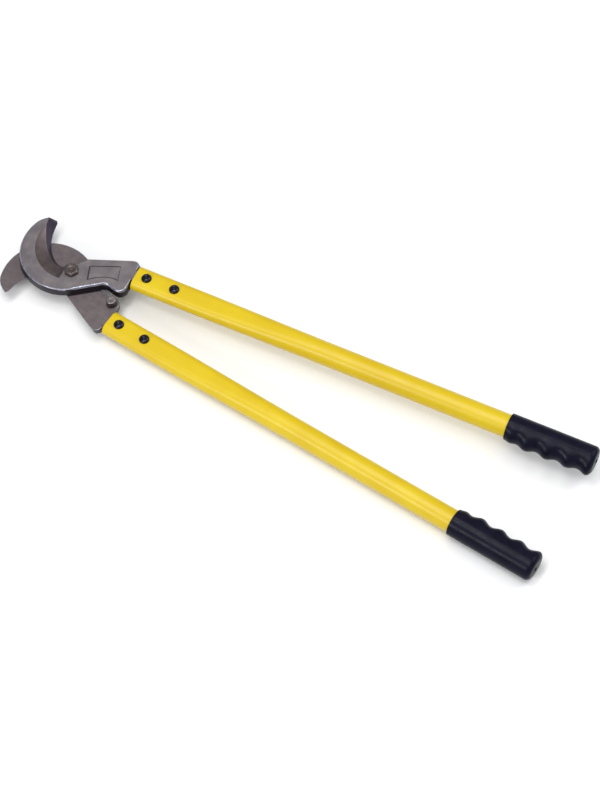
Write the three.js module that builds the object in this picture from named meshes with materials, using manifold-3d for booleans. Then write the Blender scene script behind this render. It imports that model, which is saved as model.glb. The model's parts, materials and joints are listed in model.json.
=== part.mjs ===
// Long-arm cable cutter: two hooked bypass jaws on one pivot bolt, each jaw bolted into a
// flattened steel tube with a moulded grip on its end. Millimetres, +Z up.
// Origin: on the pivot axis, in the plane of the pivot bolt's end face. +X runs along the
// middle line between the handles, +Y towards the upper handle.
import * as THREE from 'three';
import { mergeVertices } from 'three/addons/utils/BufferGeometryUtils.js';
import Module from 'manifold-3d';

const wasm = await Module();
wasm.setup();

// ---- Clearances
const seatGap = 0.3;            // between two faces that rest on each other
const boreGap = 0.3;            // radial, round a shank in its hole

// ---- Jaw plate. Both jaws are one forging, and the lower one lies upside down.
// The shear face is flat. The far face is smaller, because the walls lean inwards.
const plateThickness = 14;
const hookRadius = 67;          // outer arc of the hook, at the shear face
const hookCentre = new THREE.Vector2(-22.5, 28.5);
const hookTaper = 3.3;          // how much smaller the arc is at the far face
const hookTaperShift = new THREE.Vector2(1.0, -1.6);
const edgeDepth = 2.2;          // the rounded edge under the far face
const draftShare = 0.4;         // of each taper, taken by the wall below the rounded edge
const hookArcStart = 158;       // degrees, where the arc leaves the tip
const hookArcEnd = 306;         // degrees, where the arc runs out into the shank
const tipCorner = new THREE.Vector2(-62.5, 71.3);
const farTipCorner = new THREE.Vector2(-70.8, 65.0);
const shankEnd = 82.5;          // where the plate stops, just short of the tube
const bossRadius = 11.3;        // rounded inner corner of the shank
const bossHeight = 6.5;         // its centre, measured from the pivot
const bossTaper = 3.0;
const shankTaper = 1.4;
const backAngle = 22.1;         // degrees, outer edge of the shank
const cornerRadius = 9;         // rounded outer corner of the shank
const cornerTaper = 2.9;
const notchRise = 17;           // degrees, slope from the notch down to the boss
const notchRadius = 6;

// The throat: the cutting edge from its tip to the pivot, then the way up to the shank.
// The first list lies in the shear face. The second is where the cutting bevel, about 34
// degrees off upright, would meet the far face.
const cuttingEdge = [
  [-60, 67.5], [-57.8, 52], [-53, 36.5], [-45, 22.7], [-35, 12.8],
  [-25.5, 8], [-15, 8.8], [-6, 13], [2, 19], [10.7, 29.2],
];
const bevelTop = [
  [-69.2, 63.8], [-67, 50], [-61.7, 32.7], [-52.6, 17], [-40.7, 5.2],
  [-27.4, -1.3], [-14, 1], [-5, 8.5], [3.5, 15.2], [12, 26],
];

// Ground crescent beside the cutting edge: a cone that starts on the far face and sinks
// towards the throat
const groundRadius = 55;
const groundCentre = new THREE.Vector2(-14.9, 37.3);
const groundAngle = 24;         // degrees, slope of the cone
const groundEndX = -10.5;

// Shallow panel on the shank's far face, with an arched lower edge
const panelDepth = 0.8;
const panelCorners = [[18.8, 17.2], [26, -4], [65, 12.3], [58, 34]];
const panelArch = [46, 14.5];

// ---- Pivot
const pivotDiameter = 12;
const pivotAcrossFlats = 18;
const pivotHeadHeight = 6;
const pivotNutHeight = 10;
const pivotWasherDiameter = 24;
const pivotWasherThickness = 2.5;
const threadStickOut = 1.2;     // bolt and screw ends past their nuts
const hexChamfer = 0.4;         // of the turned top inside the flats

// ---- Stop pin, driven into the middle of the lower jaw's boss
const pinDiameter = 13.8;
const pinRise = 11;             // above the face that it stands on
const pinSpigotDiameter = 8;
const pinSpigotDepth = 10;

// ---- Handles
const handleAngle = 4.22;       // degrees, each handle from the middle line
const handleOffset = 29.7;      // tube axis from the pivot, square to the tube
const tubeDiameter = 32;
const tubeWall = 3;
const tubeGap = 0.8;            // jaw plate to the tube's end
const flatWidth = 36;           // the flattened end that holds the tang
const flatCorner = 10.2;
const flatUntil = 165;          // where the tube starts to turn round again
const roundFrom = 390;
const tangLength = 78;          // of the jaw inside the tube
const screwPlaces = [100.6, 143.1];
const screwDiameter = 8;
const screwHeadDiameter = 14.2;
const screwHeadHeight = 4.4;
const screwRimHeight = 0.8;
const screwSocket = 5;
const screwSocketDepth = 2.2;
const nutAcrossFlats = 13;
const nutHeight = 6.5;
const washerDiameter = 16;
const washerThickness = 1.6;

// ---- Grips
const gripReach = 762;          // pivot to the grip's closed end, along the tube
const gripLength = 124.5;
const gripWall = 2.3;
const gripEndWall = 6.7;
const gripEndRound = 7;
const lobePitch = 29;
const lobeCount = 4;
const firstLobe = 32;           // from the grip's mouth to its first crest
const lobeHeight = 5.2;
const valleyHeight = 0.3;
const nubRadius = 3;
const nubHeight = 1.2;
const nubDraft = 1;

// ---- Values worked out from the sizes above
const DEG = Math.PI / 180;
const shearLift = seatGap / 2;  // each jaw's shear face from the shear plane
const plateMiddle = shearLift + plateThickness / 2;
const flatHeight = plateThickness + 2 * seatGap + 2 * tubeWall;
const shearPlaneZ = threadStickOut + pivotNutHeight + pivotWasherThickness + 2 * seatGap
  + plateThickness + shearLift;
const tubeStart = shankEnd + tubeGap;
const tangWidth = flatWidth - 2 * flatCorner;
const bossCentre = new THREE.Vector2(shankEnd - bossRadius, bossHeight);
const gripStart = gripReach - gripLength;
const tubeEnd = gripReach - gripEndWall - seatGap;

// ---- Solids

function solid(geometry) {
  const bare = geometry.index ? geometry.toNonIndexed() : geometry.clone();
  bare.deleteAttribute('normal');
  bare.deleteAttribute('uv');
  const merged = mergeVertices(bare, 1e-4);
  return new wasm.Manifold(new wasm.Mesh({
    numProp: 3,
    vertProperties: new Float32Array(merged.attributes.position.array),
    triVerts: new Uint32Array(merged.index.array),
  }));
}

function geometryOf(manifold) {
  const mesh = manifold.getMesh();
  const geometry = new THREE.BufferGeometry();
  geometry.setAttribute('position', new THREE.BufferAttribute(mesh.vertProperties, 3));
  geometry.setIndex(new THREE.BufferAttribute(mesh.triVerts, 1));
  return geometry;
}

// A round bar along Z, from z0 up to z1
function bar(radius, z0, z1, x = 0, y = 0, sides = 24) {
  const geometry = new THREE.CylinderGeometry(radius, radius, z1 - z0, sides);
  geometry.rotateX(Math.PI / 2);
  geometry.translate(x, y, (z0 + z1) / 2);
  return geometry;
}

function prism(shape, z0, z1) {
  const geometry = new THREE.ExtrudeGeometry(shape, {
    depth: z1 - z0, bevelEnabled: false, curveSegments: 14,
  });
  geometry.translate(0, 0, z0);
  return geometry;
}

// A closed skin over rings that all have the same number of points
function skin(rings, caps) {
  const count = rings[0].length;
  const position = rings.flat().flatMap((p) => [p.x, p.y, p.z]);
  const index = [];
  for (let r = 0; r + 1 < rings.length; r += 1) {
    for (let i = 0; i < count; i += 1) {
      const a = r * count + i;
      const b = r * count + ((i + 1) % count);
      index.push(a, b, b + count, a, b + count, a + count);
    }
  }
  const last = (rings.length - 1) * count;
  caps.first.forEach(([a, b, c]) => index.push(a, c, b));
  caps.last.forEach(([a, b, c]) => index.push(a + last, b + last, c + last));
  const geometry = new THREE.BufferGeometry();
  geometry.setAttribute('position', new THREE.Float32BufferAttribute(position, 3));
  geometry.setIndex(index);
  return geometry;
}

// ---- Jaw

function polar(centre, radius, degrees) {
  const angle = degrees * DEG;
  return new THREE.Vector2(
    centre.x + radius * Math.cos(angle),
    centre.y + radius * Math.sin(angle),
  );
}

function arc(centre, radius, fromDegrees, toDegrees, steps) {
  return Array.from({ length: steps + 1 }, (_, i) => (
    polar(centre, radius, fromDegrees + ((toDegrees - fromDegrees) * i) / steps)
  ));
}

function meet(p, pDegrees, q, qDegrees) {
  const u = polar(new THREE.Vector2(), 1, pDegrees);
  const v = polar(new THREE.Vector2(), 1, qDegrees);
  const gap = q.clone().sub(p);
  return p.clone().addScaledVector(u, gap.cross(v) / u.cross(v));
}

// The plate's outline, counterclockwise from the tip. taper is 0 at the shear face and 1 at
// the far face, and both outlines have the same number of points.
function jawOutline(taper, tip, throatPoints) {
  const centre = hookCentre.clone().addScaledVector(hookTaperShift, taper);
  const radius = hookRadius - hookTaper * taper;
  const hook = arc(centre, radius, hookArcStart, hookArcEnd, 30);
  const lead = polar(hook[0], 0.5 * hook[0].distanceTo(tip), hookArcStart - 90);
  const tipBack = new THREE.QuadraticBezierCurve(tip, lead, hook[0]).getPoints(6);

  const shankPoint = hook[hook.length - 1];
  shankPoint.addScaledVector(polar(new THREE.Vector2(), 1, hookArcEnd), -shankTaper * taper);
  const boss = arc(bossCentre, bossRadius - bossTaper * taper, 270 - notchRise, 360, 8);
  const notch = meet(shankPoint, hookArcEnd + 90, boss[0], 180 - notchRise);
  const notchIn = polar(notch, notchRadius, hookArcEnd - 90);
  const notchOut = polar(notch, notchRadius, -notchRise);
  const notchCurve = new THREE.QuadraticBezierCurve(notchIn, notch, notchOut).getPoints(5);

  const throat = new THREE.SplineCurve(throatPoints.map(([x, y]) => new THREE.Vector2(x, y)));
  const backPoint = throat.points[throat.points.length - 1];
  const turn = cornerRadius - cornerTaper * taper;
  const endX = bossCentre.x + bossRadius - bossTaper * taper;
  const corner = new THREE.Vector2(endX - turn, 0);
  corner.y = backPoint.y + (corner.x - backPoint.x) * Math.tan(backAngle * DEG)
    - turn / Math.cos(backAngle * DEG);
  const cornerArc = arc(corner, turn, 0, 90 + backAngle, 6);

  return [
    ...tipBack, ...hook.slice(1), ...notchCurve, ...boss, ...cornerArc,
    ...throat.getPoints(38).reverse(),
  ];
}

function between(from, to, share) {
  return from.map((value, i) => value + (to[i] - value) * share);
}

// Three outlines: the shear face, the shoulder under the rounded edge, and the far face. The
// throat's bevel runs straight through all three.
function jawPlate() {
  const levels = [
    { z: 0, taper: 0 },
    { z: plateThickness - edgeDepth, taper: draftShare },
    { z: plateThickness, taper: 1 },
  ];
  const outlines = levels.map(({ z, taper }) => {
    const share = z / plateThickness;
    const tip = tipCorner.clone().lerp(farTipCorner, share);
    const throat = cuttingEdge.map((p, i) => between(p, bevelTop[i], share));
    return jawOutline(taper, tip, throat);
  });
  const rings = outlines.map((outline, i) => (
    outline.map((p) => new THREE.Vector3(p.x, p.y, shearLift + levels[i].z))
  ));
  return skin(rings, {
    first: THREE.ShapeUtils.triangulateShape(outlines[0], []),
    last: THREE.ShapeUtils.triangulateShape(outlines[outlines.length - 1], []),
  });
}

function tang() {
  const from = bossCentre.x;
  const to = shankEnd + tangLength;
  const block = new THREE.BoxGeometry(to - from, tangWidth, plateThickness);
  return block.translate((from + to) / 2, handleOffset, plateMiddle);
}

function groundCrescent() {
  const slope = Math.tan(groundAngle * DEG);
  const top = shearLift + plateThickness;
  const cone = new THREE.CylinderGeometry(
    groundRadius + plateThickness / slope,
    groundRadius - plateThickness / slope,
    2 * plateThickness,
    96,
  );
  cone.rotateX(Math.PI / 2);
  cone.translate(groundCentre.x, groundCentre.y, top);
  const reach = 4 * groundRadius;
  const keep = new THREE.BoxGeometry(reach, 2 * reach, 4 * plateThickness);
  keep.translate(groundEndX - reach / 2, 0, plateMiddle);
  return solid(cone).intersect(solid(keep));
}

function panelCut() {
  const [topLeft, lowLeft, lowRight, topRight] = panelCorners;
  const shape = new THREE.Shape();
  shape.moveTo(...topLeft);
  shape.lineTo(...lowLeft);
  shape.quadraticCurveTo(...panelArch, ...lowRight);
  shape.lineTo(...topRight);
  shape.closePath();
  const top = shearLift + plateThickness;
  return solid(prism(shape, top - panelDepth, top + plateThickness));
}

function throughHole(diameter, x, y) {
  return solid(bar(diameter / 2 + boreGap, -2 * flatHeight, 3 * flatHeight, x, y));
}

function jaw() {
  let body = solid(jawPlate()).add(solid(tang()));
  body = body.subtract(groundCrescent()).subtract(panelCut());
  body = body.subtract(throughHole(pivotDiameter, 0, 0));
  screwPlaces.forEach((x) => {
    body = body.subtract(throughHole(screwDiameter, x, handleOffset));
  });
  return body;
}

function upperJaw() {
  return geometryOf(jaw());
}

// The lower jaw is the same forging with a blind hole for the stop pin's spigot
function lowerJaw() {
  const hole = bar(pinSpigotDiameter / 2 + boreGap, 0,
    shearLift + pinSpigotDepth + seatGap, bossCentre.x, bossCentre.y);
  return geometryOf(jaw().subtract(solid(hole)));
}

// ---- Handle tube: a round tube whose jaw end is pressed flat over the tang

const SECTION_SIDES = 32;

function roundSection(radius) {
  return Array.from({ length: SECTION_SIDES }, (_, i) => (
    polar(new THREE.Vector2(), radius, ((i + 0.5) * 360) / SECTION_SIDES)
  ));
}

// A rounded rectangle with its points spread as the round section's are
function flatSection(width, height, corner) {
  const quarter = SECTION_SIDES / 4;
  return [[1, 1, 0], [-1, 1, 90], [-1, -1, 180], [1, -1, 270]].flatMap(([sx, sy, start]) => {
    const centre = new THREE.Vector2(sx * (width / 2 - corner), sy * (height / 2 - corner));
    return arc(centre, corner, start, start + 90, quarter - 1);
  });
}

function tubeSkin(inset) {
  const flat = flatSection(flatWidth - 2 * inset, flatHeight - 2 * inset, flatCorner - inset);
  const round = roundSection(tubeDiameter / 2 - inset);
  const steps = [0, 0.2, 0.4, 0.6, 0.8, 1];
  const stations = [
    { x: tubeStart, roundness: 0 },
    ...steps.map((t) => ({
      x: flatUntil + (roundFrom - flatUntil) * t,
      roundness: THREE.MathUtils.smoothstep(t, 0, 1),
    })),
    { x: tubeEnd, roundness: 1 },
  ];
  return stations.map(({ x, roundness }) => flat.map((p, i) => {
    const q = p.clone().lerp(round[i], roundness);
    return new THREE.Vector3(x, handleOffset + q.x, plateMiddle + q.y);
  }));
}

function stackCaps(count) {
  const fan = Array.from({ length: count - 2 }, (_, i) => [0, i + 1, i + 2]);
  return { first: fan, last: fan };
}

function handleTube() {
  const outer = solid(skin(tubeSkin(0), stackCaps(SECTION_SIDES)));
  const rings = tubeSkin(tubeWall);
  rings[0].forEach((p) => { p.x -= 1; });
  rings[rings.length - 1].forEach((p) => { p.x += 1; });
  let tube = outer.subtract(solid(skin(rings, stackCaps(SECTION_SIDES))));
  screwPlaces.forEach((x) => {
    tube = tube.subtract(throughHole(screwDiameter, x, handleOffset));
  });
  return geometryOf(tube);
}

// ---- Grip: a closed sleeve with finger lobes on the side that faces the other handle

function lobeAt(x) {
  const mouth = THREE.MathUtils.smoothstep(x, 0, firstLobe / 2);
  const wave = 0.5 + 0.5 * Math.cos((2 * Math.PI * (x - firstLobe)) / lobePitch);
  return mouth * (valleyHeight + (lobeHeight - valleyHeight) * wave);
}

// Turned about Y, pushed out into lobes on its +X side, then laid along +X with the lobes at -Y
function gripBody() {
  const radius = tubeDiameter / 2 + boreGap + gripWall;
  const straight = gripLength - gripEndRound;
  const profile = [new THREE.Vector2(0, 0)];
  const rows = 5 * lobeCount;
  for (let i = 0; i <= rows; i += 1) {
    profile.push(new THREE.Vector2(radius, (straight * i) / rows));
  }
  for (let a = 22.5; a < 90; a += 22.5) {
    profile.push(new THREE.Vector2(
      radius - gripEndRound * (1 - Math.cos(a * DEG)),
      straight + gripEndRound * Math.sin(a * DEG),
    ));
  }
  profile.push(new THREE.Vector2(nubRadius, gripLength));
  profile.push(new THREE.Vector2(nubRadius - nubDraft, gripLength + nubHeight));
  profile.push(new THREE.Vector2(0, gripLength + nubHeight));
  const body = new THREE.LatheGeometry(profile, 24);
  const place = body.attributes.position;
  for (let i = 0; i < place.count; i += 1) {
    const [x, y, z] = [place.getX(i), place.getY(i), place.getZ(i)];
    const around = Math.hypot(x, z);
    const facing = around > 0 ? Math.max(0, x / around) : 0;
    const push = (lobeAt(y) * facing ** 1.5 * around) / radius;
    place.setX(i, x + push);
  }
  return body.rotateZ(-Math.PI / 2);
}

function handleGrip() {
  const bore = bar(tubeDiameter / 2 + boreGap, -1, tubeEnd + seatGap - gripStart, 0, 0, 32);
  bore.rotateY(Math.PI / 2);
  const sleeve = solid(gripBody()).subtract(solid(bore));
  return geometryOf(sleeve).translate(gripStart, handleOffset, plateMiddle);
}

// ---- Fasteners, each drawn along its own axis with the head up

function hexShape(acrossFlats, holeRadius = 0) {
  const corner = acrossFlats / 2 / Math.cos(30 * DEG);
  const shape = new THREE.Shape(arc(new THREE.Vector2(), corner, 0, 300, 5));
  if (holeRadius > 0) {
    const hole = new THREE.Path();
    hole.absarc(0, 0, holeRadius, 0, 2 * Math.PI);
    shape.holes.push(hole);
  }
  return shape;
}

// Hexagon whose corners are turned down to a cone at the top
function chamferedHex(acrossFlats, z0, z1, holeRadius = 0) {
  const corner = acrossFlats / 2 / Math.cos(30 * DEG);
  const height = z1 - z0;
  const topRadius = acrossFlats / 2 - hexChamfer;
  const drop = (corner - topRadius) * Math.tan(30 * DEG);
  const cone = new THREE.LatheGeometry([
    new THREE.Vector2(0, 0),
    new THREE.Vector2(corner, 0),
    new THREE.Vector2(corner, height - drop),
    new THREE.Vector2(topRadius, height),
    new THREE.Vector2(0, height),
  ], 24);
  cone.rotateX(Math.PI / 2);
  cone.translate(0, 0, z0);
  return solid(prism(hexShape(acrossFlats, holeRadius), z0, z1)).intersect(solid(cone));
}

function hexBolt(diameter, acrossFlats, headHeight, headBase, end) {
  const shank = bar(diameter / 2, end, headBase + headHeight / 2);
  return geometryOf(solid(shank).add(chamferedHex(acrossFlats, headBase, headBase + headHeight)));
}

// Drawn with its seat at z = height and its chamfered face down, at z = 0
function hexNut(diameter, acrossFlats, height) {
  const body = chamferedHex(acrossFlats, -height, 0, diameter / 2 + boreGap);
  return geometryOf(body).rotateX(Math.PI);
}

function washer(diameter, holeDiameter, z0, thickness) {
  const shape = new THREE.Shape();
  shape.absarc(0, 0, diameter / 2, 0, 2 * Math.PI);
  const hole = new THREE.Path();
  hole.absarc(0, 0, holeDiameter / 2 + boreGap, 0, 2 * Math.PI);
  shape.holes.push(hole);
  return prism(shape, z0, z0 + thickness);
}

// Domed socket-head screw
function buttonScrew(headBase, end) {
  const rim = screwHeadDiameter / 2;
  const profile = [
    new THREE.Vector2(0, 0),
    new THREE.Vector2(rim, 0),
    new THREE.Vector2(rim, screwRimHeight),
  ];
  for (let a = 20; a < 90; a += 20) {
    profile.push(new THREE.Vector2(
      rim * Math.cos(a * DEG),
      screwRimHeight + (screwHeadHeight - screwRimHeight) * Math.sin(a * DEG),
    ));
  }
  profile.push(new THREE.Vector2(0, screwHeadHeight));
  const head = new THREE.LatheGeometry(profile, 20);
  head.rotateX(Math.PI / 2);
  head.translate(0, 0, headBase);
  const socket = prism(hexShape(screwSocket), headBase + screwHeadHeight - screwSocketDepth,
    headBase + 2 * screwHeadHeight);
  const shank = bar(screwDiameter / 2, end, headBase + screwHeadHeight / 4, 0, 0, 20);
  return geometryOf(solid(head).add(solid(shank)).subtract(solid(socket)));
}

// Drawn from the face that it stands on
function stopPin() {
  const top = bar(pinDiameter / 2, seatGap, pinRise);
  const spigot = bar(pinSpigotDiameter / 2, -pinSpigotDepth, pinRise / 2);
  return geometryOf(solid(top).add(solid(spigot)));
}

// ---- Materials

function finish(color, roughness, metalness) {
  return new THREE.MeshStandardMaterial({ color, roughness, metalness });
}

const forgedSteel = finish(0x6e6964, 0.45, 0.9);
const yellowPowderCoat = finish(0xebc81e, 0.3, 0.0);
const blackVinyl = finish(0x1c1c2b, 0.35, 0.0);
const blackOxide = finish(0x1d1d22, 0.4, 0.8);
const plainSteel = finish(0x827870, 0.4, 0.9);

function named(name, geometry, material, z = 0) {
  const mesh = new THREE.Mesh(geometry, material);
  mesh.name = name;
  mesh.position.z = z;
  return mesh;
}

// ---- Assembly

// Screws, washers and nuts of one handle. z is measured from the shear plane, and the heads
// are on top on both handles.
function handleFasteners(side, tubeMiddle) {
  const group = new THREE.Group();
  const top = tubeMiddle + flatHeight / 2 + seatGap;
  const washerBase = tubeMiddle - flatHeight / 2 - seatGap - washerThickness;
  const nutBase = washerBase - seatGap - nutHeight;
  screwPlaces.forEach((x, i) => {
    const place = new THREE.Group();
    place.position.set(x, side * handleOffset, 0);
    const name = `${side > 0 ? 'upper' : 'lower'}_handle`;
    const nut = hexNut(screwDiameter, nutAcrossFlats, nutHeight);
    place.add(named(`${name}_screw_${i + 1}`, buttonScrew(top, nutBase - threadStickOut), blackOxide));
    place.add(named(`${name}_washer_${i + 1}`,
      washer(washerDiameter, screwDiameter, washerBase, washerThickness), blackOxide));
    place.add(named(`${name}_nut_${i + 1}`, nut, blackOxide, nutBase));
    group.add(place);
  });
  return group;
}

function halfOf(side) {
  const name = side > 0 ? 'upper' : 'lower';
  const flipped = new THREE.Group();
  flipped.rotation.x = side > 0 ? 0 : Math.PI;
  flipped.add(named(`${name}_jaw`, side > 0 ? upperJaw() : lowerJaw(), forgedSteel));
  flipped.add(named(`${name}_tube`, handleTube(), yellowPowderCoat));
  flipped.add(named(`${name}_grip`, handleGrip(), blackVinyl));
  const half = new THREE.Group();
  half.add(flipped, handleFasteners(side, side * plateMiddle));
  half.rotation.z = side * handleAngle * DEG;
  half.position.z = shearPlaneZ;
  return half;
}

function pivot() {
  const group = new THREE.Group();
  const headBase = shearPlaneZ + shearLift + plateThickness + seatGap;
  group.add(named('pivot_bolt',
    hexBolt(pivotDiameter, pivotAcrossFlats, pivotHeadHeight, headBase, 0), forgedSteel));
  group.add(named('pivot_washer', washer(pivotWasherDiameter, pivotDiameter,
    threadStickOut + pivotNutHeight + seatGap, pivotWasherThickness), plainSteel));
  group.add(named('pivot_nut',
    hexNut(pivotDiameter, pivotAcrossFlats, pivotNutHeight), plainSteel, threadStickOut));
  return group;
}

function stop() {
  const group = new THREE.Group();
  const pin = named('stop_pin', stopPin(), plainSteel);
  pin.position.set(bossCentre.x, -bossCentre.y, -shearLift);
  group.add(pin);
  group.rotation.z = -handleAngle * DEG;
  group.position.z = shearPlaneZ;
  return group;
}

const cutter = new THREE.Group();
cutter.add(halfOf(1), halfOf(-1), pivot(), stop());

export default cutter;
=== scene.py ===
# %% [markdown]
# # A long-arm cable cutter
# The real tool is two hooked steel jaws on one pivot bolt. Each jaw is bolted into a pressed
# steel tube with yellow powder coat, and each tube ends in a black moulded grip.
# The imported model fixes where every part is. This lesson builds the visible surface of each
# part around it, and lets each piece ride on the half of the tool that it belongs to.

import json
import math

import bmesh
import bpy
from mathutils import Matrix, Vector


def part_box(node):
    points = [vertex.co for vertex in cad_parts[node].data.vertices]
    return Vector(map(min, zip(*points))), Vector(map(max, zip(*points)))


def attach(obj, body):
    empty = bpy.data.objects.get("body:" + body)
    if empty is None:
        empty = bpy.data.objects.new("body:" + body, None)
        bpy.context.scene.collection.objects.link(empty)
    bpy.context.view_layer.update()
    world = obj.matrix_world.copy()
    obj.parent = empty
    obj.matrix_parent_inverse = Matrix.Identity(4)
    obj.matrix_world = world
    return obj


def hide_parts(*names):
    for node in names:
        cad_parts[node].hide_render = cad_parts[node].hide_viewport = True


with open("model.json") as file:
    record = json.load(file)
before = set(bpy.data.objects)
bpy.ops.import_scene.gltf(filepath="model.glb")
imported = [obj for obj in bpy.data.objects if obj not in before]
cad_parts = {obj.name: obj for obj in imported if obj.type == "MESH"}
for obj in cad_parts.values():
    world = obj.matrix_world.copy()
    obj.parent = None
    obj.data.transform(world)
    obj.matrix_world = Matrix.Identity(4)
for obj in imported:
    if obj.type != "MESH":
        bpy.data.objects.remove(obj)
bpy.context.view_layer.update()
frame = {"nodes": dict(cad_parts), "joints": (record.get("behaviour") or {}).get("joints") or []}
MM = 0.001

# %% [markdown]
# ## Working in the frame of one half
# The two halves are one design, and the lower one lies upside down. A maker draws such a part
# once, along its own handle, and places it twice. So each half gets a matrix: up to the shear
# plane between the jaws, turned by the handle's own angle, and turned over for the lower half.
# The angle is measured between the two handle screws, so it is never typed in.

# %% Matrices of the two halves
def middle(node):
    low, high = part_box(node)
    return (low + high) / 2


pivot = Vector(frame["joints"][0]["pos_m"])
screw_line = middle("upper_handle_screw_2") - middle("upper_handle_screw_1")
handle_angle = math.atan2(screw_line.y, screw_line.x)


def half_matrix(side):
    turn_over = Matrix.Rotation(0 if side > 0 else math.pi, 4, "X")
    return Matrix.Translation(pivot) @ Matrix.Rotation(side * handle_angle, 4, "Z") @ turn_over


SIDES = {"upper": 1, "lower": -1}
HALF = {name: half_matrix(side) for name, side in SIDES.items()}
print("handle angle", round(math.degrees(handle_angle), 2), "degrees")


# %% [markdown]
# ## Reading sizes from the frame
# A turned part's box is wider than the part. So sizes are read from the node's own points
# after they are carried back into the half's frame, in millimetres. Only the upper half is
# measured, because the lower half repeats it.

# %% Measure a node in the upper half's frame
def local_points(node):
    back = HALF["upper"].inverted()
    return [back @ v.co / MM for v in frame["nodes"][node].data.vertices]


def extent(points):
    low = Vector([min(p[i] for p in points) for i in range(3)])
    high = Vector([max(p[i] for p in points) for i in range(3)])
    return low, high


tube_points = local_points("upper_tube")
tube_low, tube_high = extent(tube_points)
grip_low, grip_high = extent(local_points("upper_grip"))
jaw_low, jaw_high = extent(local_points("upper_jaw"))
axis_y = (tube_low.y + tube_high.y) / 2
axis_z = (tube_low.z + tube_high.z) / 2
print("tube from", round(tube_low.x, 1), "to", round(tube_high.x, 1), "mm, axis at", round(axis_y, 2))


# %% [markdown]
# ## Surfaces from rings
# Tubes, grips, screws, nuts and washers are all a section carried along an axis. Primitives
# and booleans could make them too, but they leave long thin triangles. One helper joins a
# list of rings with quads and closes the ends, so each part only has to say what its rings
# are. The rings can also run back to the first one, as on a washer or an open tube.

# %% Join rings into a closed mesh
ROUND_POINTS = 72           # points round a turned part


def skin(bm, rings, loop=False):
    rows = [[bm.verts.new(p) for p in ring] for ring in rings]
    count = len(rows[0])
    pairs = list(zip(rows, rows[1:]))
    if loop:
        pairs.append((rows[-1], rows[0]))
    for a, b in pairs:
        for i in range(count):
            j = (i + 1) % count
            bm.faces.new((a[i], a[j], b[j], b[i]))
    if not loop:
        bm.faces.new(list(reversed(rows[0])))
        bm.faces.new(rows[-1])


def circle(radius, z, count=ROUND_POINTS):
    return [(radius * math.cos(a), radius * math.sin(a), z)
            for a in (2 * math.pi * i / count for i in range(count))]


def quarter(steps):
    """Angles of a quarter circle, from 0 to 90 degrees in equal steps."""
    return [math.pi / 2 * k / steps for k in range(steps + 1)]


# %% [markdown]
# ## Putting a piece in place
# A piece is drawn in millimetres in its own frame, then placed by a matrix in metres. Edges
# sharper than a given angle stay crisp in the shading, and the rest is smooth, as on
# machined parts. The same helper makes it ride on a body and stand for its plain solid.

# %% Make an object from a mesh being built
def place(bm, name, matrix, body, materials, stands_for, sharp=38):
    """Returns the new object; sharp is in degrees."""
    bmesh.ops.recalc_face_normals(bm, faces=bm.faces)
    bmesh.ops.scale(bm, vec=(MM, MM, MM), verts=bm.verts)
    mesh = bpy.data.meshes.new(name)
    bm.to_mesh(mesh)
    bm.free()
    mesh.shade_smooth()
    mesh.set_sharp_from_angle(angle=math.radians(sharp))
    for material in materials:
        mesh.materials.append(material)
    obj = bpy.data.objects.new(name, mesh)
    bpy.context.scene.collection.objects.link(obj)
    obj.matrix_world = matrix
    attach(obj, body)
    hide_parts(*stands_for)
    print(name, "on", body, "with", len(mesh.polygons), "faces")
    return obj


# %% [markdown]
# ## Finishes: a small kit of shader nodes
# Every finish here is the same idea: a base colour that two or three scales of noise vary, a
# roughness that another noise varies, and a fine bump. Pictures could be wrapped round the
# pieces instead, but nodes need no unwrapping and stay sharp close up. Values that don't vary
# over the surface, such as metalness or clear coat, are set on the shader's own sockets.

# %% Shader helpers
NOISE_LOW, NOISE_HIGH = 0.3, 0.7    # nearly all of a noise's values lie between these
NOISE_ROUGHNESS = 0.55              # how strong a noise's finer layers are


def to_linear(rgb):
    """Colour from the usual 0-255 numbers to the linear values that a shader takes."""
    parts = (((c / 255 + 0.055) / 1.055) ** 2.4 if c > 10 else c / 255 / 12.92 for c in rgb)
    return (*parts, 1)


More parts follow.
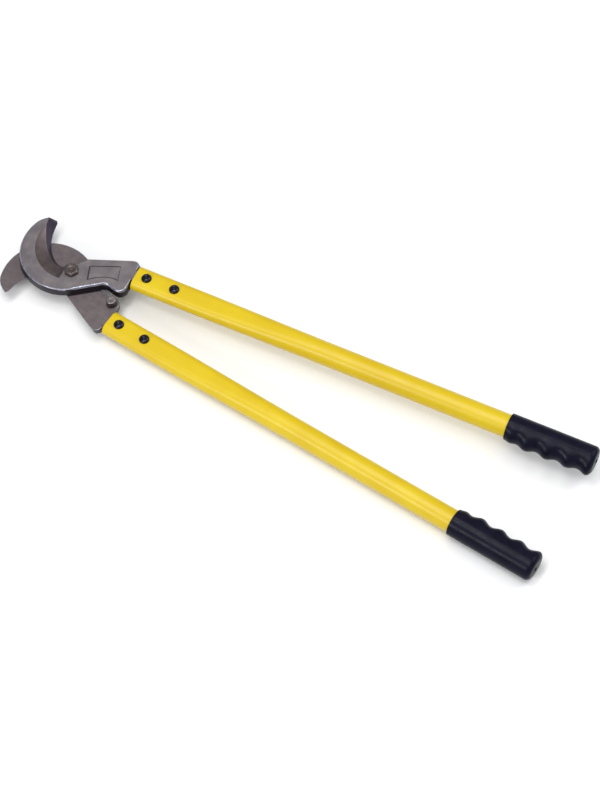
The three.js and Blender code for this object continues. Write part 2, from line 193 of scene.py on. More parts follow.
class Finish:
    """A material being wired up. Colours are 0-255 numbers and sizes are millimetres."""

    def __init__(self, name):
        self.material = bpy.data.materials.new(name)
        self.material.use_nodes = True
        self.nodes = self.material.node_tree.nodes
        self.shader = self.nodes["Principled BSDF"]
        self.coords = self.nodes.new("ShaderNodeTexCoord").outputs["Object"]
        self.normal = None

    def join(self, out, socket):
        self.material.node_tree.links.new(out, socket)

    def noise(self, size, detail, vector=None):
        node = self.nodes.new("ShaderNodeTexNoise")
        node.inputs["Scale"].default_value = 1 / (size * MM)
        node.inputs["Detail"].default_value = detail
        node.inputs["Roughness"].default_value = NOISE_ROUGHNESS
        self.join(vector or self.coords, node.inputs["Vector"])
        return node.outputs["Fac"]

    def remap(self, value, low, high, to_low, to_high):
        node = self.nodes.new("ShaderNodeMapRange")
        for key, number in (("From Min", low), ("From Max", high),
                            ("To Min", to_low), ("To Max", to_high)):
            node.inputs[key].default_value = number
        self.join(value, node.inputs["Value"])
        return node.outputs["Result"]

    def patches(self, size, detail, low=NOISE_LOW, high=NOISE_HIGH, most=1.0):
        """A factor that grows from 0 to most where the noise grows from low to high."""
        return self.remap(self.noise(size, detail), low, high, 0.0, most)

    def mix(self, factor, a, b):
        """Blend two colours, each a tuple or the output of a node."""
        node = self.nodes.new("ShaderNodeMix")
        node.data_type = "RGBA"
        self.join(factor, node.inputs["Factor"])
        for key, value in (("A", a), ("B", b)):
            socket = next(s for s in node.inputs if s.name == key and s.type == "RGBA")
            if isinstance(value, tuple):
                socket.default_value = to_linear(value)
            else:
                self.join(value, socket)
        return next(s for s in node.outputs if s.type == "RGBA")

    def color(self, value):
        self.join(value, self.shader.inputs["Base Color"])

    def rough(self, size, detail, low, high):
        """Vary the roughness between low and high with a noise."""
        value = self.remap(self.noise(size, detail), NOISE_LOW, NOISE_HIGH, low, high)
        self.join(value, self.shader.inputs["Roughness"])

    def bump(self, height, depth, strength):
        """Add a layer of bump on top of those already there."""
        node = self.nodes.new("ShaderNodeBump")
        node.inputs["Distance"].default_value = depth * MM
        node.inputs["Strength"].default_value = strength
        self.join(height, node.inputs["Height"])
        if self.normal is not None:
            self.join(self.normal, node.inputs["Normal"])
        self.normal = node.outputs["Normal"]
        self.join(self.normal, self.shader.inputs["Normal"])

    def set(self, **values):
        names = {"metal": "Metallic", "coat": "Coat Weight", "coat_rough": "Coat Roughness",
                 "level": "Specular IOR Level"}
        for key, value in values.items():
            self.shader.inputs[names[key]].default_value = value
        return self.material


# %% [markdown]
# ## Forged steel
# The flat faces of the jaws are forged, blasted and oiled: a dark grey-brown with cloudy
# patches and a fine grain. Two noises shift the colour between warmer and cooler greys, a
# small cell pattern gives the blasted grain, and a fine noise leaves a few darker pits.
# Shade is painted into the colour in the corners, at the foot of a step or under the bolt's head. It
# could be painted on by hand, but an ambient occlusion node finds those places by itself.

# %% Steel of the jaws' faces
# colour of the shade painted into corners
CORNER_SHADE_COLOUR = (44, 40, 44)
CORNER_SHADE_REACH = 1.8            # mm, how far from a corner the painted shade spreads


def painted_corner_shade(f, base):
    """Paint shade onto the base where the surface sits in a corner of the shape."""
    node = f.nodes.new("ShaderNodeAmbientOcclusion")
    node.inputs["Distance"].default_value = CORNER_SHADE_REACH * MM
    return f.mix(f.remap(node.outputs["AO"], 0.5, 0.86, 0.85, 0.0), base, CORNER_SHADE_COLOUR)


def cells(f, size):
    node = f.nodes.new("ShaderNodeTexVoronoi")
    node.inputs["Scale"].default_value = 1 / (size * MM)
    f.join(f.coords, node.inputs["Vector"])
    return node.outputs["Distance"]


def forged_face():
    f = Finish("forged face")
    base = f.mix(f.patches(16, 4, 0.32, 0.68), (109, 104, 108), (132, 126, 125))
    base = f.mix(f.patches(5, 5, 0.4, 0.75, 0.45), base, (118, 105, 116))
    pitted = f.mix(f.patches(1.1, 2, 0.66, 0.74, 0.5), base, (74, 66, 68))
    # the corners of the flats get painted shade
    f.color(painted_corner_shade(f, pitted))
    f.rough(3, 4, 0.42, 0.58)
    f.bump(cells(f, 0.55), 0.03, 0.35)
    f.bump(f.noise(7, 3), 0.25, 0.25)
    return f.set(metal=0.75)


FACE = forged_face()
print("made", FACE.name, "with", len(FACE.node_tree.nodes), "nodes")


# %% [markdown]
# The walls keep the blue-black scale of the forge, because only the flats are blasted clean. Its
# colour is darker than the flats, partly for the scale and partly as painted shade on the upright
# walls. It is a little shinier than the flats, with small worn spots where the bare steel comes
# through.

# %% Scale on the walls
def forge_scale_and_shade():
    f = Finish("forge scale and painted shade")
    base = f.mix(f.patches(9, 4), (24, 20, 27), (39, 33, 41))
    f.color(f.mix(f.patches(2.2, 5, 0.6, 0.74, 0.5), base, (80, 70, 76)))
    f.rough(4, 3, 0.3, 0.46)
    f.bump(f.noise(1.6, 4), 0.12, 0.3)
    return f.set(metal=0.7)


SCALE_AND_SHADE = forge_scale_and_shade()
print("made", SCALE_AND_SHADE.name)


# %% [markdown]
# The rounded edges are rubbed bright by handling, and their paler, bluer steel is also a painted sheen
# where the light catches them. A duller steel still breaks into it, so the edge isn't a drawn line.

# %% Burnished edges
def burnished_edge_and_sheen():
    f = Finish("burnished edge and painted sheen")
    base = f.mix(f.patches(6, 4), (124, 122, 132), (164, 165, 180))
    f.color(f.mix(f.patches(1.8, 5, 0.5, 0.66, 0.7), base, (98, 92, 98)))
    f.rough(2.5, 3, 0.24, 0.4)
    f.bump(f.noise(1.2, 3), 0.05, 0.3)
    return f.set(metal=0.85)


RUBBED_EDGE_AND_SHEEN = burnished_edge_and_sheen()
print("made", RUBBED_EDGE_AND_SHEEN.name)


# %% [markdown]
# The crescent beside the cutting edge, the cutting bevel and the shear faces are ground. A wheel
# leaves long fine scratches, so the noise is stretched along the direction of grinding. The crescent
# is painted darker near the pivot and paler towards the tip: painted shade where its cone slopes away
# from the light, and painted light where it turns to it. The same recipe in a darker colour serves for
# the painted shadow along the foot of the panel's step.

# %% Ground steel
STREAK_PALER = 1.25         # how much paler a scratch is than the ground colour
SHADE_FADE_FROM, SHADE_FADE_TO = 8, 58  # mm from the pivot towards the hook's tip, over which painted shade turns to painted light


def stretched(f, along, turn):
    """Coordinates in which a pattern is drawn out: a small along makes long streaks."""
    mapping = f.nodes.new("ShaderNodeMapping")
    mapping.inputs["Rotation"].default_value = (0, 0, turn)
    mapping.inputs["Scale"].default_value = (along, 1, 1)
    f.join(f.coords, mapping.inputs["Vector"])
    return mapping.outputs["Vector"]


def axes(f):
    split = f.nodes.new("ShaderNodeSeparateXYZ")
    f.join(f.coords, split.inputs["Vector"])
    return split.outputs


def ground_steel(name, dark, light, turn, metal=0.8, painted_light_at_tip=None):
    f = Finish(name)
    scratches = f.noise(0.5, 3, stretched(f, 0.03, turn))
    base = f.mix(f.patches(12, 4), dark, light)
    streak = tuple(c * STREAK_PALER for c in light)
    base = f.mix(f.remap(scratches, 0.35, 0.7, 0.0, 0.35), base, streak)
    if painted_light_at_tip:
        # painted shade near the pivot, turning to painted light towards the tip
        base = f.mix(f.remap(axes(f)["Y"], SHADE_FADE_FROM * MM, SHADE_FADE_TO * MM, 0.0, 0.8), base, painted_light_at_tip)
    # the corners get painted shade
    f.color(painted_corner_shade(f, base))
    f.rough(2.5, 3, 0.36, 0.5)
    f.bump(scratches, 0.02, 0.5)
    return f.set(metal=metal)


CRESCENT = ground_steel("ground crescent", (73, 63, 64), (97, 86, 86), 0.6, painted_light_at_tip=(120, 108, 109))
SHEAR = ground_steel("ground shear face", (96, 88, 91), (118, 108, 109), -0.4)
# a dark ground steel for the shadow painted along the panel's step
PANEL_SHADOW = ground_steel("painted shadow by the panel's step", (50, 44, 50), (78, 70, 76), 0.2, 0.4)
BEVEL = ground_steel("cutting bevel", (43, 38, 51), (62, 54, 70), 1.4, 0.7)
print("made", [m.name for m in (CRESCENT, SHEAR, PANEL_SHADOW, BEVEL)])


# %% [markdown]
# ## Yellow powder coat
# Powder melts into a thick glossy skin with a faint orange peel. The peel is two soft noises
# as bump under a thin clear coat. The colour drifts a little along the tube, with a few
# specks of dirt that wiping has left.

# %% Powder coat
def powder_coat():
    f = Finish("yellow powder coat")
    base = f.mix(f.patches(70, 2), (198, 168, 12), (205, 179, 20))
    base = f.mix(f.patches(9, 3, 0.55, 0.75, 0.35), base, (196, 163, 10))
    f.color(f.mix(f.patches(1.6, 1, 0.74, 0.8, 0.55), base, (136, 108, 24)))
    f.rough(14, 3, 0.34, 0.44)
    f.bump(f.noise(3.2, 1), 0.05, 0.35)
    f.bump(f.noise(1.1, 1), 0.015, 0.35)
    return f.set(metal=0.0, level=0.3, coat=0.08, coat_rough=0.18)


YELLOW = powder_coat()
print("made", YELLOW.name)


# %% [markdown]
# ## Black vinyl
# The grips are dipped or moulded soft vinyl, glossy where it is new and duller where a hand
# rubs. A blue-black base, patches of dulled gloss and fine scuffs tell it from paint.

# %% Vinyl
def vinyl():
    f = Finish("black vinyl")
    base = f.mix(f.patches(18, 3), (14, 14, 27), (20, 20, 36))
    scuffs = f.noise(0.9, 4, stretched(f, 0.12, 0.5))
    f.color(f.mix(f.remap(scuffs, 0.66, 0.78, 0.0, 0.3), base, (48, 48, 62)))
    f.rough(8, 4, 0.22, 0.36)
    f.bump(f.noise(0.8, 2), 0.02, 0.3)
    f.bump(f.noise(6, 2), 0.12, 0.2)
    return f.set(metal=0.0, level=0.07)


VINYL = vinyl()
print("made", VINYL.name)


# %% [markdown]
# ## Black oxide
# The handle screws and their nuts and washers are black oxide, which is so thin that steel
# shows through where a key or a hand has rubbed it. Small rubbed spots over a blue-black
# metal show that without any wear painted by hand.

# %% Black oxide
def black_oxide():
    f = Finish("black oxide")
    base = f.mix(f.patches(3, 4), (24, 24, 30), (40, 40, 50))
    f.color(f.mix(f.patches(0.7, 4, 0.62, 0.72, 0.5), base, (110, 112, 128)))
    f.rough(1.5, 3, 0.2, 0.36)
    f.bump(f.noise(0.5, 2), 0.01, 0.4)
    return f.set(metal=0.8)


OXIDE = black_oxide()
print("made", OXIDE.name)


# %% [markdown]
# ## Turned steel
# The pivot bolt has gone brown, and its nut and washer and the stop pin's top are cleaner. The pin's
# side is darker, for the oil on it and as painted shade. A lathe tool leaves fine rings round the
# axis. They are too fine for the mesh, so a sine of the distance from the piece's axis gives them as
# bump.

# %% Turned steel
TURNING_FEED = 0.35         # mm between two turning marks
STAIN_DARKER = 0.7          # a stain's colour against the finish's darker colour


def calc(f, operation, a, b):
    node = f.nodes.new("ShaderNodeMath")
    node.operation = operation
    for socket, value in zip(node.inputs, (a, b)):
        if isinstance(value, float):
            socket.default_value = value
        else:
            f.join(value, socket)
    return node.outputs["Value"]


def turned_steel(name, dark, light):
    f = Finish(name)
    x, y, _ = axes(f)
    squares = calc(f, "ADD", calc(f, "MULTIPLY", x, x), calc(f, "MULTIPLY", y, y))
    radius = calc(f, "POWER", squares, 0.5)
    turns = calc(f, "MULTIPLY", radius, 2 * math.pi / (TURNING_FEED * MM))
    base = f.mix(f.patches(3.5, 5, 0.32, 0.68), dark, light)
    stain = tuple(c * STAIN_DARKER for c in dark)
    f.color(f.mix(f.patches(1.6, 4, 0.56, 0.7, 0.55), base, stain))
    f.rough(1.2, 3, 0.32, 0.5)
    f.bump(calc(f, "SINE", turns, 0.0), 0.008, 0.3)
    f.bump(f.noise(1.4, 2), 0.015, 0.3)
    return f.set(metal=0.8)


BOLT = turned_steel("brown bolt steel", (76, 68, 68), (103, 93, 91))
PLAIN = turned_steel("plain turned steel", (103, 97, 98), (140, 132, 132))
# the pin's side: oily steel, darkened further as painted shade
PIN_OIL_AND_SHADE = turned_steel("oiled pin side and painted shade", (44, 40, 42), (74, 68, 70))
print("made", [m.name for m in (BOLT, PLAIN, PIN_OIL_AND_SHADE)], "- finishes in all:", len(bpy.data.materials))


# %% [markdown]
# ## Jaws
# A jaw is a forging: a thick plate with leaning walls, a rounded outer edge, a ground
# crescent beside the cutting bevel and a shallow panel on the shank. It could be drawn again
# as a curve and extruded, but its solid in the frame already has the true outline, so the
# visible piece starts as a copy of it. The copy's coplanar triangles are dissolved into whole
# faces, and then only the edges that are round on the real forging are bevelled, each with
# its own width.

# %% Copy a jaw's solid and clean it
HOOK_RADIUS = 67            # mm, outer arc of the hook at the shear face
HOOK_CENTRE = Vector((jaw_low.x + HOOK_RADIUS, jaw_low.y + HOOK_RADIUS, 0))
THROAT_REACH = 59.8         # mm from the hook's centre: nearer points belong to the throat
THROAT_END = 12.5           # mm, where the throat runs out into the shank
FACE_Z = jaw_high.z
SHEAR_Z = jaw_low.z
WELD_WITHIN = 0.003         # mm between two points that are one
ONE_PLANE = 0.6             # degrees between two faces that are one


def in_throat(point):
    flat = Vector((point.x, point.y, 0))
    return (flat - HOOK_CENTRE).length < THROAT_REACH and point.x < THROAT_END


def clean_copy(node, matrix):
    bm = bmesh.new()
    bm.from_mesh(frame["nodes"][node].data)
    bmesh.ops.transform(bm, matrix=Matrix.Scale(1 / MM, 4) @ matrix.inverted(), verts=bm.verts)
    bmesh.ops.remove_doubles(bm, verts=bm.verts, dist=WELD_WITHIN)
    bmesh.ops.dissolve_limit(bm, angle_limit=math.radians(ONE_PLANE), verts=bm.verts,
                             edges=bm.edges)
    return bm


print("jaw from", round(SHEAR_Z, 2), "to", round(FACE_Z, 2), "mm, hook centred on",
      [round(v, 1) for v in HOOK_CENTRE.xy])


# %% [markdown]
# Which edges are round is decided by where they are. The rim of the far face and the shoulder
# below it are the two edges of one rounded forging edge, so both are rolled. The rim of the
# shear face gets a narrow chamfer. The panel's steps and the top of the cutting bevel are
# only broken. Edges in the throat stay sharp, because they cut. One bevel modifier for the
# whole jaw would be simpler, but it would round the cutting edge as well.

# %% Sort the edges and round them
EDGE_DEPTH = 2.2            # mm, height of the rounded edge under the far face
PANEL_DEPTH = 0.8           # mm
WIDTHS = {"rolled": (0.95, 3), "chamfer": (1.4, 3), "broken": (0.3, 2), "panel": (0.38, 2)}
CURVE_STEP = 19             # degrees, gentler edges are steps of a curved wall
BORE_ZONE = 7               # mm from the pivot's axis, kept sharp
TUBE_ZONE = tube_low.x - 0.4
NEAR = 0.02                 # mm, when two heights count as one


def edge_kind(edge):
    if len(edge.link_faces) != 2 or edge.calc_face_angle(0) < math.radians(CURVE_STEP):
        return None
    a, b = (v.co for v in edge.verts)
    centre = (a + b) / 2
    if centre.x > TUBE_ZONE or math.hypot(centre.x, centre.y) < BORE_ZONE:
        return None
    # the upward part of a face's normal: 1 lies level, 0 stands upright
    steep, flat = sorted(f.normal.z for f in edge.link_faces)
    if in_throat(a) and in_throat(b) and flat > 0.85 and 0.2 < steep < 0.85:
        return "broken"
    if abs(a.z - b.z) >= 0.03:
        return None
    level = centre.z
    if flat > 0.98 and abs(steep) < 0.05 and level > FACE_Z - PANEL_DEPTH - 0.05:
        return "panel"
    if in_throat(a) or in_throat(b):
        return None
    if level > FACE_Z - NEAR or abs(level - (FACE_Z - EDGE_DEPTH)) < NEAR:
        return "rolled"
    return "chamfer" if level < SHEAR_Z + NEAR else None


def soften(bm, kind):
    """Bevel all edges of one kind; the new faces are returned."""
    width, steps = WIDTHS[kind]
    chosen = [e for e in bm.edges if edge_kind(e) == kind]
    made = bmesh.ops.bevel(bm, geom=chosen, offset=width, offset_type="OFFSET", segments=steps,
                           profile=0.5, affect="EDGES", clamp_overlap=False)
    return made["faces"]


# %% [markdown]
# The finish follows the shape too: flats are blasted or ground, rounded edges are burnished and carry
# a painted sheen, the cutting bevel is its own dark band, and what is left are walls with the forge's
# scale and painted shade. Each face could be picked by hand, but a rule serves both jaws and still
# holds after a change.

# %% Choose the finish of a jaw's face
GROUND_RADIUS = 55          # mm, the arc that ends the ground crescent
GROUND_CENTRE = Vector((-14.9, 37.3, 0))
GROUND_END = -10.4          # mm, where the crescent's straight end lies
FLAT_UP = 0.985             # upward part of a level face's normal
FLAT_DOWN = -0.97
CONE_UP = 0.86              # the crescent's cone lies flatter than this, the bevel steeper


def finish_of(face):
    centre = face.calc_center_median()
    up = face.normal.z
    flat = Vector((centre.x, centre.y, 0))
    if up < FLAT_DOWN:
        return SHEAR
    if up > FLAT_UP:
        return FACE
    if (flat - GROUND_CENTRE).length < GROUND_RADIUS and centre.x < GROUND_END:
        if up > CONE_UP or face.normal.x < -0.99:
            return CRESCENT
    if in_throat(centre) and 0.15 < up < CONE_UP:
        return BEVEL
    if centre.x > tube_low.x - 1 or in_throat(centre):
        return SCALE_AND_SHADE
    # tilted faces take the pale finish with painted sheen, upright walls the dark one with painted
    # shade
    return RUBBED_EDGE_AND_SHEEN if up > 0.36 or up < -0.3 else SCALE_AND_SHADE


# %% [markdown]
# A shadow is painted along the foot of the panel's step, on its left and lower sides, where the step
# would cast it. The floor of the panel gets a narrow inset band there, so that the dark line has its
# own faces and keeps its width all along the step.

# %% Cut the band of dirt into the panel
PANEL_SHADOW_WIDTH = 1.3          # mm, band of painted shadow at the foot of the panel's step


def painted_shadow_band(bm):
    """A narrow band round the panel's floor; the part on its left and lower sides is returned."""
    floor = [f for f in bm.faces if f.normal.z > FLAT_UP
             and abs(f.calc_center_median().z - FACE_Z + PANEL_DEPTH) < NEAR]
    corners = [v.co for f in floor for v in f.verts]
    left = min(corners, key=lambda c: c.x)
    right = max(corners, key=lambda c: c.x)
    band = bmesh.ops.inset_region(bm, faces=floor, thickness=PANEL_SHADOW_WIDTH, use_even_offset=True)
    across = (right - left).to_2d()
    return [f for f in band["faces"]
            if across.cross((f.calc_center_median() - left).to_2d()) < PANEL_SHADOW_WIDTH]


# %% [markdown]
# Both jaws are now built by one function. The flats must shade as flats although their edges
# are round, so a weighted normal modifier lets the large faces rule the shading.

# %% Build both jaws
JAW_FINISHES = [FACE, SCALE_AND_SHADE, RUBBED_EDGE_AND_SHEEN, CRESCENT, SHEAR, BEVEL, PANEL_SHADOW]


def make_jaw(name):
    node = f"{name}_jaw"
    matrix = HALF[name]
    bm = clean_copy(node, matrix)
    rounded = {kind: soften(bm, kind) for kind in WIDTHS}
    bmesh.ops.recalc_face_normals(bm, faces=bm.faces)
    band = painted_shadow_band(bm)
    for face in bm.faces:
        face.material_index = JAW_FINISHES.index(finish_of(face))
    # the panel's rounded step edges take the dark wall finish, which paints shade along the step
    for face in rounded["panel"]:
        face.material_index = JAW_FINISHES.index(SCALE_AND_SHADE)
    # the band on the left and lower sides gets the painted shadow
    for face in band:
        face.material_index = JAW_FINISHES.index(PANEL_SHADOW)
    counts = {kind: len(faces) for kind, faces in rounded.items()}
    obj = place(bm, f"{name}_jaw_forging", matrix, f"{name}_half", JAW_FINISHES,
                [node], sharp=20)
    weighted = obj.modifiers.new("flat faces stay flat", "WEIGHTED_NORMAL")
    weighted.keep_sharp = True
    print("  faces made by rounding:", counts)


for name in SIDES:
    make_jaw(name)


# %% [markdown]
# ## Handle tubes
# The tube is round along most of its length, and its jaw end is pressed flat over the tang.
# A cylinder could be squeezed with a lattice, but its wall would be squeezed too. So the
# section is carried along the axis: a rounded rectangle at the jaw, a circle further back,
# and a smooth change between. The rings run round the lip at the jaw end, along the outside,
# and back along the inside, so the open end shows a real wall.

# %% Sections of the tube
TUBE_POINTS = 96
FLAT_CORNER = 10.2          # mm, corner radius of the pressed section
FLAT_UNTIL = 165            # mm from the pivot
ROUND_FROM = 390

mouth = [p for p in tube_points if p.x < tube_low.x + 1]
mouth_low, mouth_high = extent(mouth)
FLAT_WIDTH = mouth_high.y - mouth_low.y
FLAT_HEIGHT = mouth_high.z - mouth_low.z
TUBE_RADIUS = (tube_high.z - tube_low.z) / 2
print("pressed end", round(FLAT_WIDTH, 1), "x", round(FLAT_HEIGHT, 1), "mm, round", TUBE_RADIUS)


def smooth(t):
    t = min(1, max(0, t))
    return t * t * (3 - 2 * t)


def tube_section(x, inset):
    roundness = smooth((x - FLAT_UNTIL) / (ROUND_FROM - FLAT_UNTIL))
    corner = FLAT_CORNER - inset
    per_corner = TUBE_POINTS // 4
    ring = []
    for i in range(TUBE_POINTS):
        side, k = divmod(i, per_corner)
        sx, sy = [(1, 1), (-1, 1), (-1, -1), (1, -1)][side]
        a = math.radians(90 * (side + k / (per_corner - 1)))
        flat_y = sx * (FLAT_WIDTH / 2 - FLAT_CORNER) + corner * math.cos(a)
        flat_z = sy * (FLAT_HEIGHT / 2 - FLAT_CORNER) + corner * math.sin(a)
        b = 2 * math.pi * (i + 0.5) / TUBE_POINTS
        round_y = (TUBE_RADIUS - inset) * math.cos(b)
        round_z = (TUBE_RADIUS - inset) * math.sin(b)
        ring.append((x, axis_y + flat_y + (round_y - flat_y) * roundness,
                     axis_z + flat_z + (round_z - flat_z) * roundness))
    return ring


# %% Build both tubes
TUBE_WALL = 3               # mm
LIP = 1.1                   # mm, radius of the lip's outer edge
LIP_STEPS = 6
OUTSIDE_STEPS = 64
INSIDE_STEPS = 16


def make_tube(name):
    start, end = tube_low.x, tube_high.x
    lip = [(start + LIP * (1 - math.sin(a)), LIP * (1 - math.cos(a)))
           for a in reversed(quarter(LIP_STEPS))]
    outside = [(start + LIP + (end - start - LIP) * k / OUTSIDE_STEPS, 0)
               for k in range(1, OUTSIDE_STEPS + 1)]
    inside = [(end, TUBE_WALL)]
    inside += [(start + 0.6 + (end - start) * k / INSIDE_STEPS, TUBE_WALL)
               for k in range(INSIDE_STEPS - 1, -1, -1)]
    rim = [(start + 0.15, TUBE_WALL - 0.45), (start, TUBE_WALL - 0.8)]
    bm = bmesh.new()
    skin(bm, [tube_section(x, inset) for x, inset in lip + outside + inside + rim], loop=True)
    place(bm, f"{name}_handle_tube", HALF[name], f"{name}_half", [YELLOW],
          [f"{name}_tube"], sharp=50)


for name in SIDES:
    make_tube(name)


# %% [markdown]
# ## Grips
# A grip is a moulded sleeve with four finger lobes on the side that faces the other handle.
# Its end is closed and carries a small nub. It could be sculpted, but a lathe shape whose
# rings are pushed out towards that side keeps the lobes even. A wave along the axis makes
# the lobes, and a power of the cosine round the ring keeps the other side plain.

# %% Rings of a grip
GRIP_POINTS = 96
LOBE_PITCH = 29             # mm from lobe to lobe
FIRST_LOBE = 32             # mm from the mouth
LOBE_HEIGHT = 5.2           # mm above the plain sleeve
VALLEY_HEIGHT = 0.3
LOBE_FOCUS = 1.5            # power of the cosine: higher makes a narrower lobe
NUB_HEIGHT = 1.2
GRIP_RADIUS = (grip_high.z - grip_low.z) / 2
GRIP_START = grip_low.x
GRIP_LENGTH = grip_high.x - grip_low.x - NUB_HEIGHT
print("grip", round(GRIP_LENGTH, 1), "mm long, radius", round(GRIP_RADIUS, 2))


def lobe_at(x):
    rise = smooth(x / (FIRST_LOBE / 2))
    wave = 0.5 + 0.5 * math.cos(2 * math.pi * (x - FIRST_LOBE) / LOBE_PITCH)
    return rise * (VALLEY_HEIGHT + (LOBE_HEIGHT - VALLEY_HEIGHT) * wave)


def grip_ring(x, radius, lobed=True):
    ring = []
    for i in range(GRIP_POINTS):
        a = 2 * math.pi * i / GRIP_POINTS
        facing = max(0, -math.cos(a))
        push = lobe_at(x) * facing ** LOBE_FOCUS * radius / GRIP_RADIUS if lobed else 0
        ring.append((GRIP_START + x, axis_y + radius * math.cos(a) - push,
                     axis_z + radius * math.sin(a)))
    return ring


# %% Build both grips
GRIP_GAP = 0.3              # mm between tube and sleeve
MOUTH_ROUND = 0.9           # mm, outer edge of the mouth
END_ROUND = 7               # mm, edge of the closed end
BODY_STEPS = 110
NUB_RADIUS = 3
NUB_DRAFT = 1               # mm, how much narrower the nub is at its top


def grip_profile():
    """(x, radius) along the outside, from the mouth's lip to the nub on the closed end."""
    straight = GRIP_LENGTH - END_ROUND
    profile = [(MOUTH_ROUND * (1 - math.sin(a)), GRIP_RADIUS - MOUTH_ROUND * (1 - math.cos(a)))
               for a in reversed(quarter(4))]
    profile += [(MOUTH_ROUND + (straight - MOUTH_ROUND) * k / BODY_STEPS, GRIP_RADIUS)
                for k in range(1, BODY_STEPS + 1)]
    profile += [(straight + END_ROUND * math.sin(a), GRIP_RADIUS - END_ROUND * (1 - math.cos(a)))
                for a in quarter(12)[1:]]
    profile += [(GRIP_LENGTH, NUB_RADIUS + 0.5), (GRIP_LENGTH + 0.15, NUB_RADIUS)]
    profile += [(GRIP_LENGTH + NUB_HEIGHT - 0.2, NUB_RADIUS - NUB_DRAFT + 0.2),
                (GRIP_LENGTH + NUB_HEIGHT, NUB_RADIUS - NUB_DRAFT - 0.2)]
    return profile


def make_grip(name):
    bore = TUBE_RADIUS + GRIP_GAP
    depth = tube_high.x + GRIP_GAP - GRIP_START
    rings = [grip_ring(x, bore, lobed=False) for x in (depth, depth / 2, 0.5)]
    rings.append(grip_ring(0, bore + 0.5, lobed=False))
    rings += [grip_ring(x, radius) for x, radius in grip_profile()]
    bm = bmesh.new()
    skin(bm, rings)
    place(bm, f"{name}_moulded_grip", HALF[name], f"{name}_half", [VINYL],
          [f"{name}_grip"], sharp=50)


for name in SIDES:
    make_grip(name)


# %% [markdown]
# ## Hexagons
# A hexagon head is a bar of hexagon stock with a cone turned on its top. A boolean of a prism
# and a cone would give the same shape with a rougher mesh. Here each ring's radius is the
# smaller of the hexagon's and the cone's, so the curved chamfer lines appear by themselves.
# A high power mean over the six flats rounds the corners a little.

# %% Rings of a hexagon
HEX_POINTS = 96
CORNER_POWER = 60           # higher makes crisper corners
CHAMFER_SLOPE = 0.58        # the cone's fall for each millimetre outwards, about 30 degrees
CHAMFER_STEPS = 8
TOP_BREAK = 0.25            # mm, the last step in to the flat top


def hex_radius(angle, across_flats):
    total = 0
    for k in range(6):
        total += max(0, math.cos(angle - math.radians(30 + 60 * k))) ** CORNER_POWER
    return across_flats / 2 / total ** (1 / CORNER_POWER)


def hex_ring(across_flats, z, limit=math.inf):
    ring = []
    for i in range(HEX_POINTS):
        a = 2 * math.pi * i / HEX_POINTS
        r = min(hex_radius(a, across_flats), limit)
        ring.append((r * math.cos(a), r * math.sin(a), z))
    return ring


def to_corner(across_flats):
    return across_flats / 2 / math.cos(math.radians(30))


def chamfer_rings(across_flats, top, upwards=True, inset=0.4):
    """Rings from below the chamfer to the flat top, or the same upside down."""
    corner = to_corner(across_flats)
    face = across_flats / 2 - inset
    drop = (corner - face) * CHAMFER_SLOPE
    sign = 1 if upwards else -1
    rings = []
    for k in range(CHAMFER_STEPS + 1):
        t = k / CHAMFER_STEPS
        limit = corner + (face - corner) * t
        rings.append(hex_ring(across_flats, top - sign * drop * (1 - t), limit))
    rings.append(hex_ring(across_flats, top, face - TOP_BREAK))
    return rings


# %% [markdown]
# ## Threads
# Only the last turn of each thread shows past its nut. A helix could be swept, but on a
# thread this short nobody could tell it from ridges of the right pitch, so it is drawn as
# ridges, with a chamfered end.

# %% Threaded end
def thread_profile(radius, pitch, low, high):
    """(radius, z) from the chamfered end at low up to high."""
    depth = 0.6 * pitch
    points = [(radius - depth, low)]
    z = low + 0.5
    while z < high:
        points += [(radius, z + 0.15 * pitch), (radius, z + 0.3 * pitch),
                   (radius - depth, z + 0.75 * pitch)]
        z += pitch
    return [(r, min(z, high)) for r, z in points]


# %% [markdown]
# ## Pivot bolt
# The bolt's head is the highest point of the jaws and takes a spanner. It is turned to a wide
# cone, so its flat top is smaller than the hexagon, and forging leaves a shallow dimple in
# the centre. Head and shank could be two shapes joined by a boolean. One skin of rings, from
# the threaded end up to the dimple, needs no join.

# %% Build the pivot bolt
PIVOT_RADIUS = 6            # mm, half of the thread's diameter
PIVOT_PITCH = 1.75
PIVOT_FLATS = 18            # mm across the flats
PIVOT_HEAD = 6
PIVOT_TOP_INSET = 1.6       # mm from a flat to the edge of the turned top
DIMPLE = ((3.4, 0.05), (2.9, 0.3), (2.0, 0.45), (1.2, 0.2), (0.4, 0.1))    # radius, depth
pivot_axis = Matrix.Translation((pivot.x, pivot.y, 0))


def heights(node):
    """Lowest and highest point of a node's solid, in millimetres."""
    low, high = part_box(node)
    return low.z / MM, high.z / MM


def make_pivot_bolt():
    low, high = heights("pivot_bolt")
    nut_top = heights("pivot_nut")[1]
    base = high - PIVOT_HEAD
    shank = thread_profile(PIVOT_RADIUS, PIVOT_PITCH, low, nut_top + 1)
    rings = [circle(r, z, HEX_POINTS) for r, z in shank + [(PIVOT_RADIUS, base - 0.1)]]
    rings.append(circle(PIVOT_FLATS / 2 - 0.5, base, HEX_POINTS))
    rings.append(hex_ring(PIVOT_FLATS, base + 0.3))
    rings += chamfer_rings(PIVOT_FLATS, high, inset=PIVOT_TOP_INSET)
    rings += [circle(r, high - sink, HEX_POINTS) for r, sink in DIMPLE]
    bm = bmesh.new()
    skin(bm, rings)
    place(bm, "pivot_hex_bolt", pivot_axis, "lower_half", [BOLT],
          ["pivot_bolt"], sharp=28)


make_pivot_bolt()


# %% [markdown]
# ## Nuts and washers
# The nut under the jaws is chamfered on both faces and at both ends of its bore, and its
# washer is a plain stamping: the punch rounds one rim and leaves the other sharp. Both have
# a hole right through, so their rings close into a loop.

# %% Build the pivot's nut and washer
BORE_CHAMFER = 0.7          # mm


